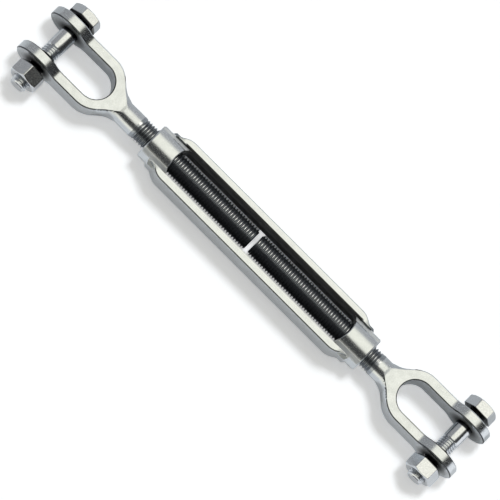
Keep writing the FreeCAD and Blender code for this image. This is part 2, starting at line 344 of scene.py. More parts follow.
def falloff(part: Any, full: float, gone: float, middle: float = 0.0, unit: float = MM) -> Any:
    """Fade from 1 to 0 with the distance from a middle.

    Args:
        part: the output socket of a coordinate.
        full: the distance at which the share is 1.
        gone: the distance at which it is 0, which may be the nearer one.
        middle: the middle's coordinate.
        unit: what one of the three lengths measures in the socket's own unit.

    Returns:
        The share's output socket.
    """
    tree = part.id_data
    off = add_node(tree, "Math", {0: part, 1: middle * unit}, operation="SUBTRACT").outputs[0]
    away = add_node(tree, "Math", {0: off}, operation="ABSOLUTE").outputs[0]
    return add_node(
        tree, "MapRange",
        {"Value": away, "From Min": full * unit, "From Max": gone * unit, "To Min": 1.0, "To Max": 0.0},
        clamp=True,
    ).outputs["Result"]


@dataclass(frozen=True)
class GalvanisedForging:
    """Hot-dip galvanised steel forging: a satin zinc coat over a skin that was shot-blasted after the hammer.

    The eye sees broad soft reflections, broken by a fine grain, with faint clouds in the zinc. The film says where a
    dark, greasy film lies over the coat, which also stands for painted shade: round the pins' holes and on the walls
    of the window. With the window's film, the webs beside the bosses get a pale matt colour, which is painted light,
    and the upper and lower faces of the rails' ends a grey one, which is painted shade. Pairs that end in rise give
    how much of the normal points up or down where something starts and where it is complete.
    """

    name: str = "hot-dip galvanised forging"
    pale: str = "#c3c8cd"
    deep: str = "#b7bcc1"
    roughness: float = 0.24
    grain: float = 0.55
    cloud: float = 5.0
    dent: float = 3.4
    grain_depth: float = 0.005
    dent_depth: float = 0.03
    film: Film = Film.NOWHERE
    # The dark film's colour: painted shade with greasy dirt.
    grease_and_shade: str = "#15171a"
    dark_film_sheen: float = 0.25
    dark_film_dullness: float = 0.25
    pin_x: float = 0.0
    ring_start: float = 7.0
    ring_end: float = 13.0
    ring_share: float = 0.9
    window_middle: float = 0.35
    window_half_width: float = 11.65
    width_fade: float = 0.12
    window_half_length: float = 75.5
    length_fade: float = 1.5
    window_share: float = 0.93
    wall_y: float = 11.15
    bare_rise: tuple[float, float] = (0.3, 0.4)
    # Sheen of the window's film at the walls' foot and top, as (Z, sheen): darker towards the bottom, painted shade.
    low_wall: tuple[float, float] = (-1.8, 0.03)
    high_wall: tuple[float, float] = (0.8, 0.4)
    # Pale matt colour on the webs: painted light in the valleys beside the bosses.
    web_painted_light: str = "#c9cdd0"
    web_x: float = 70.0
    web_y: tuple[float, float] = (8.4, 11.3)
    web_rise: tuple[float, float] = (0.5, 0.6)
    web_fade: float = 0.3
    # Grey on the rails' ends: painted shade.
    drained: str = "#767b81"
    tip_shade_x: tuple[float, float] = (77.5, 81.5)
    tip_shade_y: tuple[float, float] = (11.5, 11.6)
    tip_shade_rise: tuple[float, float] = (0.6, 0.75)

    def ring_cover(self, parts: Any) -> Any:
        """Painted shade with greasy dirt round the pin: most beside the hole, none at the ear's rim.

        Args:
            parts: the node that splits the place into X, Y and Z.

        Returns:
            The share's output socket.
        """
        tree = parts.id_data
        reach = add_node(tree, "Math", {0: parts.outputs["X"], 1: self.pin_x * MM}, operation="SUBTRACT").outputs[0]
        flat = add_node(tree, "CombineXYZ", {"X": reach, "Z": parts.outputs["Z"]}).outputs[0]
        away = add_node(tree, "VectorMath", {0: flat}, operation="LENGTH").outputs["Value"]
        return add_node(
            tree, "MapRange",
            {"Value": away, "From Min": self.ring_start * MM, "From Max": self.ring_end * MM,
             "To Min": self.ring_share, "To Max": 0.0},
            clamp=True,
        ).outputs["Result"]

    def window_cover(self, parts: Any, blotch: Any, rise: Any) -> Any:
        """Share of the dark film, painted shade with greasy dirt: most on the window's walls, none outside them.

        The box of the window reaches over the bosses' curved ends, whose upper and lower faces stay bare.

        Args:
            parts: the node that splits the place into X, Y and Z.
            blotch: the output socket of a coarse noise, where the dark film thins.
            rise: the output socket of how much of the normal points up or down.

        Returns:
            The share's output socket.
        """
        tree = parts.id_data
        along, across = parts.outputs["X"], parts.outputs["Y"]
        upright = add_node(
            tree, "MapRange",
            {"Value": rise, "From Min": self.bare_rise[0], "From Max": self.bare_rise[1], "To Min": 1.0, "To Max": 0.0},
            clamp=True,
        ).outputs["Result"]
        beside = falloff(across, self.wall_y + 0.1, self.wall_y)
        cover = add_node(tree, "Math", {0: beside, 1: upright}, operation="MAXIMUM").outputs[0]
        thick = add_node(
            tree, "MapRange", {"Value": blotch, "From Min": 0.3, "From Max": 0.6, "To Min": self.window_share},
            clamp=True,
        ).outputs["Result"]
        width, length = self.window_half_width, self.window_half_length
        for share in (
            falloff(across, width, width + self.width_fade, self.window_middle),
            falloff(along, length, length + self.length_fade),
            thick,
        ):
            cover = add_node(tree, "Math", {0: cover, 1: share}, operation="MULTIPLY").outputs[0]
        return cover

    def painted_web_and_tip_covers(self, parts: Any, rise: Any) -> tuple[Any, Any]:
        """Painted light and shade beside the bosses.

        Args:
            parts: the node that splits the place into X, Y and Z.
            rise: the output socket of how much of the normal points up or down.

        Returns:
            The output sockets of two shares: how much pale matt colour, painted light, lies on the sloping webs, and
            how much grey, painted shade, lies on the upper and lower faces of the rails' ends.
        """
        tree = parts.id_data
        along, across = parts.outputs["X"], parts.outputs["Y"]
        low, high = self.web_y
        web = (
            falloff(across, low, low - self.web_fade), falloff(across, high, high + 0.1),
            falloff(along, self.web_x + self.web_fade, self.web_x),
        )
        drained = (falloff(across, *reversed(self.tip_shade_y)), falloff(along, *reversed(self.tip_shade_x)))
        covers = []
        for (first, last), shares in ((self.web_rise, web), (self.tip_shade_rise, drained)):
            cover = add_node(
                tree, "MapRange", {"Value": rise, "From Min": first, "From Max": last}, clamp=True
            ).outputs["Result"]
            for share in shares:
                cover = add_node(tree, "Math", {0: cover, 1: share}, operation="MULTIPLY").outputs[0]
            covers.append(cover)
        return covers[0], covers[1]

    def material(self) -> bpy.types.Material:
        """Build the material.

        Returns:
            The material.
        """
        material, tree = new_material(self.name)
        place = add_node(tree, "TexCoord").outputs["Object"]
        cloud, grain, dent = (
            add_node(
                tree, "TexNoise", {"Vector": place, "Scale": per_mm(size), "Detail": detail, "Roughness": harshness}
            ).outputs["Fac"]
            for size, detail, harshness in ((self.cloud, 4.0, 0.5), (self.grain, 3.0, 0.6), (self.dent, 2.0, 0.5))
        )
        mottle = add_node(tree, "Math", {0: cloud, 1: grain}, operation="ADD").outputs[0]
        spread = add_node(
            tree, "MapRange", {"Value": mottle, "From Min": 0.75, "From Max": 1.2}, clamp=True
        ).outputs["Result"]
        colour = add_node(tree, "ValToRGB", {"Fac": spread})
        set_stops(colour, [(0.0, linear(self.deep)), (1.0, linear(self.pale))])
        skin, metal, sheen = colour.outputs["Color"], 1.0, self.dark_film_sheen
        roughness = add_node(
            tree, "MapRange",
            {"Value": grain, "From Min": 0.3, "From Max": 0.7, "To Min": self.roughness - 0.04,
             "To Max": self.roughness + 0.05},
        ).outputs["Result"]
        if self.film is not Film.NOWHERE:
            parts = add_node(tree, "SeparateXYZ", {"Vector": place})
            if self.film is Film.PIN:
                # Round the pin the dark film is painted shade with greasy dirt.
                cover = matt = self.ring_cover(parts)
            else:
                # On the window's walls the dark film is painted shade in the recess, with greasy dirt, and duller
                # towards the bottom.
                facing = add_node(tree, "SeparateXYZ", {"Vector": add_node(tree, "NewGeometry").outputs["Normal"]})
                rise = add_node(tree, "Math", {0: facing.outputs["Z"]}, operation="ABSOLUTE").outputs[0]
                cover = self.window_cover(parts, cloud, rise)
                (low, low_sheen), (high, high_sheen) = self.low_wall, self.high_wall
                sheen = add_node(
                    tree, "MapRange",
                    {"Value": parts.outputs["Z"], "From Min": low * MM, "From Max": high * MM, "To Min": low_sheen,
                     "To Max": high_sheen},
                    clamp=True,
                ).outputs["Result"]
                # Painted light on the webs, then painted shade on the rails' ends.
                web_light, thin = self.painted_web_and_tip_covers(parts, rise)
                skin = add_node(tree, "MixRGB", {0: thin, 1: skin, 2: linear(self.drained)}).outputs[0]
                skin = add_node(tree, "MixRGB", {0: web_light, 1: skin, 2: linear(self.web_painted_light)}).outputs[0]
                matt = add_node(tree, "Math", {0: cover, 1: web_light}, operation="MAXIMUM").outputs[0]
            # The dark film: painted shade with greasy dirt.
            skin = add_node(tree, "MixRGB", {0: cover, 1: skin, 2: linear(self.grease_and_shade)}).outputs[0]
            metal = add_node(tree, "Math", {0: 1.0, 1: matt}, operation="SUBTRACT").outputs[0]
            roughness = add_node(
                tree, "Math", {0: matt, 1: self.dark_film_dullness, 2: roughness}, operation="MULTIPLY_ADD"
            ).outputs[0]
        soft = add_node(tree, "Bump", {"Height": dent, "Strength": 1.0, "Distance": self.dent_depth * MM})
        fine = add_node(
            tree, "Bump",
            {"Height": grain, "Strength": 1.0, "Distance": self.grain_depth * MM, "Normal": soft.outputs["Normal"]},
        )
        shader = add_node(
            tree, "BsdfPrincipled",
            {"Base Color": skin, "Metallic": metal, "Roughness": roughness, "Specular IOR Level": sheen,
             "Normal": fine.outputs["Normal"]},
        )
        add_node(tree, "OutputMaterial", {"Surface": shader.outputs[0]})
        return material


@dataclass(frozen=True)
class ZincFastener:
    """Zinc-plated bolt steel: smoother and brighter than the forgings, with the faint grain of a cold-headed part.

    Where the shank passes through the ears and beside them, a dark band lies over it: painted shade with greasy dirt.
    """

    name: str = "zinc-plated bolt steel"
    pale: str = "#c9cdd2"
    deep: str = "#b9bdc2"
    roughness: float = 0.19
    grain: float = 0.8
    grain_depth: float = 0.005
    grease_and_shade: str = "#17191c"
    dark_band_start: float = 9.6
    nut_end: float = 22.2
    head_end: float = 23.0
    dark_band_fade: float = 0.25
    reach: float = 40.0

    def material(self) -> bpy.types.Material:
        """Build the material.

        Returns:
            The material.
        """
        material, tree = new_material(self.name)
        place = add_node(tree, "TexCoord").outputs["Object"]
        grain = add_node(
            tree, "TexNoise", {"Vector": place, "Scale": per_mm(self.grain), "Detail": 4.0}
        ).outputs["Fac"]
        colour = add_node(tree, "ValToRGB", {"Fac": grain})
        set_stops(colour, [(0.35, linear(self.deep)), (0.65, linear(self.pale))])
        share = add_node(
            tree, "MapRange",
            {"Value": add_node(tree, "SeparateXYZ", {"Vector": place}).outputs["Y"],
             "From Min": -self.reach * MM, "From Max": self.reach * MM},
            clamp=True,
        ).outputs["Result"]
        # The dark band on the shank: painted shade with greasy dirt.
        cover = add_node(tree, "ValToRGB", {"Fac": share})
        stops = []
        for y, level in (
            (-self.nut_end, 1.0), (-self.dark_band_start, 0.0), (self.dark_band_start, 1.0), (self.head_end, 0.0)
        ):
            stops += [(y - self.dark_band_fade, 1.0 - level), (y + self.dark_band_fade, level)]
        set_stops(cover, stops, -self.reach, self.reach)
        skin = add_node(
            tree, "MixRGB", {0: cover.outputs[0], 1: colour.outputs["Color"], 2: linear(self.grease_and_shade)}
        ).outputs[0]
        roughness = add_node(
            tree, "MapRange",
            {"Value": grain, "From Min": 0.3, "From Max": 0.7, "To Min": self.roughness - 0.04,
             "To Max": self.roughness + 0.06},
        ).outputs["Result"]
        bump = add_node(tree, "Bump", {"Height": grain, "Strength": 1.0, "Distance": self.grain_depth * MM})
        shader = add_node(
            tree, "BsdfPrincipled",
            {"Base Color": skin, "Metallic": 1.0, "Roughness": roughness, "Normal": bump.outputs["Normal"]},
        )
        add_node(tree, "OutputMaterial", {"Surface": shader.outputs[0]})
        return material


@dataclass(frozen=True)
class OiledThread:
    """A cut steel thread: darker roots, grime and painted shade in the grooves, and a painted highlight on its crests.

    Away from the highlight the crests are darker, and darker still inside the frame's window than outside the bosses,
    which is painted shade of the frame. Turns are in degrees from straight up.
    """

    name: str = "oiled cut thread"
    crest: str = "#e3e6eb"
    # Crest colours away from the painted highlight, outside the window and inside it; the darker one is painted shade.
    plain_crest: str = "#949aa1"
    shaded_window_crest: str = "#777c84"
    window_x: tuple[float, float] = (84.0, 88.0)
    root: str = "#63686f"
    root_radius: float = 7.1
    crest_radius: float = 7.9
    grime: float = 1.1
    roughness: float = 0.24
    metal_share: float = 0.87
    # The painted highlight along the crests' top: its middle turn, and where it is full and where it is gone.
    highlight_turn: float = 5.0
    highlight_half: float = 4.0
    highlight_fade: float = 12.0

    def material(self) -> bpy.types.Material:
        """Build the material.

        Returns:
            The material.
        """
        material, tree = new_material(self.name)
        place = add_node(tree, "TexCoord").outputs["Object"]
        parts = add_node(tree, "SeparateXYZ", {"Vector": place}).outputs
        flat = add_node(tree, "CombineXYZ", {"Y": parts["Y"], "Z": parts["Z"]}).outputs[0]
        radius = add_node(tree, "VectorMath", {0: flat}, operation="LENGTH").outputs["Value"]
        turn = add_node(tree, "Math", {0: parts["Y"], 1: parts["Z"]}, operation="ARCTAN2").outputs[0]
        # Painted highlight: the crests keep their bright colour in a band along the top.
        oiled = falloff(turn, self.highlight_fade, self.highlight_half, self.highlight_turn, math.radians(1.0))
        outside = falloff(parts["X"], *reversed(self.window_x))
        # Inside the window the crests are darker: painted shade of the frame.
        film = add_node(
            tree, "MixRGB", {0: outside, 1: linear(self.shaded_window_crest), 2: linear(self.plain_crest)}
        ).outputs[0]
        crest = add_node(tree, "MixRGB", {0: oiled, 1: linear(self.crest), 2: film}).outputs[0]
        height = add_node(
            tree, "MapRange", {"Value": radius, "From Min": self.root_radius * MM, "From Max": self.crest_radius * MM},
            clamp=True,
        ).outputs["Result"]
        # Darker roots: painted shade in the grooves, broken by grime noise.
        grime = add_node(tree, "TexNoise", {"Vector": place, "Scale": per_mm(self.grime), "Detail": 3.0})
        kept = add_node(tree, "Math", {0: height, 1: grime.outputs["Fac"]}, operation="MULTIPLY").outputs[0]
        clean = add_node(
            tree, "MapRange", {"Value": kept, "From Min": 0.05, "From Max": 0.42}, clamp=True
        ).outputs["Result"]
        skin = add_node(tree, "MixRGB", {0: clean, 1: linear(self.root), 2: crest}).outputs[0]
        shader = add_node(
            tree, "BsdfPrincipled", {"Base Color": skin, "Metallic": self.metal_share, "Roughness": self.roughness}
        )
        add_node(tree, "OutputMaterial", {"Surface": shader.outputs[0]})
        return material


@dataclass(frozen=True)
class Finishes:
    """Every material of the object, built once."""

    jaws: dict[Side, bpy.types.Material]
    frame: bpy.types.Material
    # Dark colour of the bevels: painted dark reflection along the edges.
    edge_shade: bpy.types.Material
    fastener: bpy.types.Material
    thread: bpy.types.Material

    @classmethod
    def build(cls) -> "Finishes":
        """Build them all.

        Returns:
            The materials.
        """
        jaws = {
            side: GalvanisedForging(
                name="hot-dip galvanised jaw, " + side.name.lower(), film=Film.PIN, pin_x=PIN_X[side]
            ).material()
            for side in Side
        }
        body = GalvanisedForging(
            pale="#c3c8cc", deep="#bcc1c6", grain_depth=0.002, dent_depth=0.02, film=Film.WINDOW
        )
        # A dark colour for the bevels: painted dark reflection along the near edges.
        edge = GalvanisedForging(name="forged edge where the zinc ran thin", pale="#44474b", deep="#303337")
        return cls(jaws, body.material(), edge.material(), ZincFastener().material(), OiledThread().material())


# Pieces


def solid_copy(node: str, name: str) -> bpy.types.Object:
    """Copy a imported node, its loose triangles merged into one skin.

    Args:
        node: the node's name.
        name: the copy's name.

    Returns:
        The copy, linked and without a material.
    """
    piece = bpy.data.objects.new(name, frame["nodes"][node].data.copy())
    piece.data.materials.clear()
    work = bmesh.new()
    work.from_mesh(piece.data)
    bmesh.ops.remove_doubles(work, verts=work.verts, dist=MERGE)
    work.to_mesh(piece.data)
    work.free()
    for attribute in ("custom_normal", "sharp_face", "sharp_edge"):
        if attribute in piece.data.attributes:
            piece.data.attributes.remove(piece.data.attributes[attribute])
    bpy.context.scene.collection.objects.link(piece)
    return piece


def darken_edges(
    piece: bpy.types.Object, material: bpy.types.Material, chosen: Callable[[np.ndarray, np.ndarray], np.ndarray]
) -> None:
    """Give the chosen faces a second material.

    Args:
        piece: an object that already has its main material.
        material: the second one.
        chosen: takes the faces' middles in millimetres and their normals, both (n, 3), and gives a truth value for
            each face.
    """
    faces = piece.data.polygons
    middles, normals = np.empty(len(faces) * 3), np.empty(len(faces) * 3)
    faces.foreach_get("center", middles)
    faces.foreach_get("normal", normals)
    piece.data.materials.append(material)
    picked = chosen(middles.reshape(-1, 3) / MM, normals.reshape(-1, 3))
    faces.foreach_set("material_index", picked.astype(np.int32))


def is_bevel(part: np.ndarray) -> np.ndarray:
    """Whether a part of the normal is that of a 45 degree bevel."""
    return (np.abs(part) > 0.6) & (np.abs(part) < 0.8)


def faces_far_side(middles: np.ndarray, normals: np.ndarray, half_width: float) -> np.ndarray:
    """Whether a face lies on the outer edge of the far side, where the edges' painted shade is left off."""
    return (middles[:, 1] > half_width) & (normals[:, 1] > 0.3)


def dress(piece: bpy.types.Object, body: str, slot: str, material: bpy.types.Material, *nodes: str) -> None:
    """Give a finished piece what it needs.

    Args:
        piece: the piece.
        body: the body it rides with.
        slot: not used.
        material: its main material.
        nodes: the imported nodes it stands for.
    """
    piece.data.materials.append(material)
    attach(piece, body)
    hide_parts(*nodes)
    log.info("%s: %d faces on %s", piece.name, len(piece.data.polygons), body)


@dataclass
class OpenFrame:
    """The forged frame: two rails joined by a boss at each end."""

    finishes: Finishes
    boss_edge: float = 10.6
    rail_end: float = 80.0
    far_rail_end: float = 74.0
    rail_middle: float = 13.7

    def build(self) -> bpy.types.Object:
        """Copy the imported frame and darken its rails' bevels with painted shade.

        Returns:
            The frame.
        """
        piece = solid_copy("frame", "open_frame")
        shade(piece.data, FORGED_EDGE)
        dress(piece, "frame", "galvanised_forging", self.finishes.frame, "frame")
        # The rails' bevels take the painted dark edge reflection.
        darken_edges(piece, self.finishes.edge_shade, self.on_edges)
        return piece

    def on_edges(self, middles: np.ndarray, normals: np.ndarray) -> np.ndarray:
        """Pick the rails' long bevels, which stand outside the bosses' width.

        Args:
            middles: the faces' middles in millimetres, (n, 3).
            normals: their normals, (n, 3).

        Returns:
            A truth value for each face.
        """
        reach = np.where(middles[:, 1] > 0, self.far_rail_end, self.rail_end)
        beside = (np.abs(middles[:, 1]) > self.boss_edge) & (np.abs(middles[:, 0]) < reach)
        far = faces_far_side(middles, normals, self.rail_middle)
        return beside & is_bevel(normals[:, 2]) & ~far


@dataclass
class ForkedJaw:
    """One jaw: a forged fork and neck, and its threaded shank."""

    finishes: Finishes
    side: Side
    hand: Hand
    crotch_x: float
    thread_length: float
    shank_reach: float = 124.7
    crest_radius: float = 7.95
    pitch: float = 2.0
    start_radius: float = 7.8
    run_out: float = 4.0
    end_chamfer: float = 1.3
    overlap: float = 0.6
    arm_middle: float = 15.2
    arm_start: float = -22.0
    bend_start: float = -30.0
    bend_end: float = 1.5
    root_end: float = 11.0
    root_edge: float = 7.5

    @property
    def name(self) -> str:
        """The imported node's name."""
        return "jaw_" + self.side.name.lower()

    @property
    def inward(self) -> int:
        """The sign of X from the crotch towards the frame."""
        return -self.side.value

    def fork(self) -> bpy.types.Object:
        """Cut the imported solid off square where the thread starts.

        Returns:
            The fork and neck.
        """
        piece = solid_copy(self.name, "fork_" + self.side.name.lower())
        cut_x = self.crotch_x + self.inward * (self.shank_reach - self.thread_length - self.overlap)
        work = bmesh.new()
        work.from_mesh(piece.data)
        result = bmesh.ops.bisect_plane(
            work, geom=[*work.verts, *work.edges, *work.faces], plane_co=(cut_x * MM, 0, 0),
            plane_no=(self.inward, 0, 0), clear_outer=True,
        )
        rim = [item for item in result["geom_cut"] if isinstance(item, bmesh.types.BMEdge)]
        bmesh.ops.triangle_fill(work, edges=rim, use_beauty=True)
        bmesh.ops.recalc_face_normals(work, faces=work.faces)
        work.to_mesh(piece.data)
        work.free()
        shade(piece.data, FORGED_EDGE)
        return piece

    def on_edges(self, middles: np.ndarray, normals: np.ndarray) -> np.ndarray:
        """Pick the bevels along the arms, round the ears and round the bend, and the near edge of the neck's root.

        Args:
            middles: the faces' middles in millimetres, (n, 3).
            normals: their normals, (n, 3).

        Returns:
            A truth value for each face.
        """
        along = (middles[:, 0] - self.crotch_x) * self.inward
        rise = np.abs(normals[:, 2])
        sides = is_bevel(normals[:, 1]) & ((rise > 0.3) | (along < self.arm_start))
        bend = is_bevel(rise) & (along > self.bend_start)
        far = faces_far_side(middles, normals, self.arm_middle)
        root = (along > self.bend_end) & (along < self.root_end) & (normals[:, 1] < 0.0) & (rise < 0.97)
        high = np.abs(middles[:, 2]) > self.root_edge
        return ((sides | bend) & (along < self.bend_end) & ~far) | (root & high)

    def shank(self) -> bpy.types.Object:
        """Work the threaded shank out along +X from its run-out, and lay it towards the frame.

        Returns:
            The shank.
        """
        length = self.thread_length + self.overlap
        tip = self.crest_radius - self.end_chamfer
        outline = [
            (0.0, self.start_radius), (self.overlap, self.crest_radius),
            (length - self.end_chamfer, self.crest_radius), (length, tip),
        ]
        form = ThreadForm(self.crest_radius, self.pitch, self.hand)
        blocks = (
            (lathe_rows([(0.0, 0.0), (0.0, self.start_radius)], form.columns), 0),
            (form.rows(outline, self.overlap, self.run_out), form.shift),
            (lathe_rows([(length, tip), (length, 0.0)], form.columns), 0),
        )
        start = np.array([self.crotch_x + self.inward * (self.shank_reach - length), 0.0, 0.0])
        way = np.array([self.inward, self.inward, 1.0])
        placed = [(block * way + start, shift) for block, shift in blocks]
        return grid_object("shank_" + self.side.name.lower(), placed, THREAD_EDGE)

    def build(self) -> list[bpy.types.Object]:
        """Make the fork and the shank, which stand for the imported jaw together.

        Returns:
            Both.
        """
        fork = self.fork()
        dress(fork, self.name, "galvanised_forging", self.finishes.jaws[self.side], self.name)
        # The picked bevels take the painted dark edge reflection.
        darken_edges(fork, self.finishes.edge_shade, self.on_edges)
        shank = self.shank()
        dress(shank, self.name, "galvanised_forging", self.finishes.thread, self.name)
        return [fork, shank]


@dataclass
class JawBolt:
    """The hexagon bolt across one fork, and its nut."""

    finishes: Finishes
    side: Side
    head_seat: float
    nut_seat: float
    head_turn: float
    nut_turn: float
    length: float = 57.5
    thread_length: float = 34.0
    shank_radius: float = 6.0
    crest_radius: float = 5.95
    pitch: float = 1.75
    end_chamfer: float = 1.15
    across_flats: float = 19.0
    corner: float = 0.45
    head_height: float = 7.5
    nut_height: float = 10.3
    face_share: float = 0.96
    chamfer_degrees: float = 30.0
    countersink: float = 0.6
    eased_width: float = 0.22
    eased_degrees: float = 24.0

    @property
    def pin_x(self) -> float:
        """Where the bolt's axis crosses X."""
        return PIN_X[self.side]

    def hexagon_rows(self, turn: float, profile: Sequence[tuple[float, float, bool]]) -> np.ndarray:
        """Rows of points round Y for a hexagonal part.

        Args:
            turn: how far the hexagon is turned, in degrees.
            profile: (radius, y, outer) of each row. A plain row is a circle of that radius at that height. An outer
                row lies on the hexagon, and its y is moved by (hexagon radius - face radius) * tan 30 along the sign
                of radius, which is the curve a 30 degree chamfer leaves on the flats.

        Returns:
            (rows, angles, 3) points.
        """
        angle = hexagon_angles()
        hexagon = hexagon_radius(angle, self.across_flats, self.corner)
        drop = (hexagon - self.across_flats / 2 * self.face_share) * math.tan(math.radians(self.chamfer_degrees))
        rows = []
        for radius, y, outer in profile:
            r = hexagon if outer else np.full(len(angle), radius)
            height = y + np.sign(radius) * drop if outer else np.full(len(angle), y)
            direction = angle + math.radians(90.0 - turn)
            rows.append(np.stack([r * np.cos(direction), height, r * np.sin(direction)], axis=-1))
        return np.array(rows) + np.array([self.pin_x, 0.0, 0.0])

    def head(self) -> np.ndarray:
        """The head, chamfered on its outer face, with a flat underside.

        Returns:
            Its rows of points.
        """
        face = self.across_flats / 2 * self.face_share
        low, high = self.head_seat, self.head_seat + self.head_height
        profile = [
            (0.0, low, False), (face, low, False), (0.0, low, True), (-1.0, high, True), (face, high, False),
            (0.0, high, False),
        ]
        return self.hexagon_rows(self.head_turn, profile)

    def rod(self) -> list[tuple[np.ndarray, int]]:
        """Work shank and thread out along X from the head, and lay them along -Y under it.

        Returns:
            Their grids, each with its helical shift.
        """
        form = ThreadForm(self.crest_radius, self.pitch, Hand.RIGHT, 48)
        start, tip = self.length - self.thread_length, self.crest_radius - self.end_chamfer
        outline = [
            (start, self.shank_radius), (start + self.pitch, self.crest_radius),
            (self.length - self.end_chamfer, self.crest_radius), (self.length, tip),
        ]
        shank = [(-0.5, 0.0), (-0.5, self.shank_radius), (start, self.shank_radius)]
        blocks = (
            (lathe_rows(shank, form.columns), 0),
            (form.rows(outline, start, self.pitch), form.shift),
            (lathe_rows([(self.length, tip), (self.length, 0.0)], form.columns), 0),
        )
        seat = np.array([self.pin_x, self.head_seat, 0.0])
        return [(block[..., [1, 0, 2]] * (1.0, -1.0, 1.0) + seat, shift) for block, shift in blocks]

    def nut(self) -> np.ndarray:
        """The nut, chamfered on both faces, with a countersunk mouth at each end of its bore.

        Returns:
            Its rows of points.
        """
        face = self.across_flats / 2 * self.face_share
        mouth = self.crest_radius + self.countersink
        high = -self.nut_seat
        low = high - self.nut_height
        profile = [
            (self.crest_radius, low + self.countersink, False), (mouth, low, False), (face, low, False),
            (1.0, low, True), (-1.0, high, True), (face, high, False), (mouth, high, False),
            (self.crest_radius, high - self.countersink, False), (self.crest_radius, low + self.countersink, False),
        ]
        return self.hexagon_rows(self.nut_turn, profile)

    def ease(self, piece: bpy.types.Object) -> None:
        """Round the worked edges a little, as forging and plating leave them.

        Args:
            piece: the head or the nut.
        """
        bevel = piece.modifiers.new("eased edges", "BEVEL")
        bevel.width = self.eased_width * MM
        bevel.segments = 2
        bevel.limit_method = "ANGLE"
        bevel.angle_limit = math.radians(self.eased_degrees)
        bevel.harden_normals = True

    def build(self) -> list[bpy.types.Object]:
        """Make the head, the threaded shank and the nut.

        Returns:
            All three.
        """
        end = self.side.name.lower()
        head = grid_object("bolt_head_" + end, [(self.head(), 0)], WORKED_EDGE)
        rod = grid_object("bolt_shank_" + end, self.rod(), THREAD_EDGE)
        nut = grid_object("hexagon_nut_" + end, [(self.nut(), 0)], WORKED_EDGE)
        self.ease(head)
        self.ease(nut)
        for piece, node in ((head, "bolt_"), (rod, "bolt_"), (nut, "nut_")):
            dress(piece, "bolt_" + end, "zinc_fastener", self.finishes.fastener, node + end)
        return [head, rod, nut]


# Studio


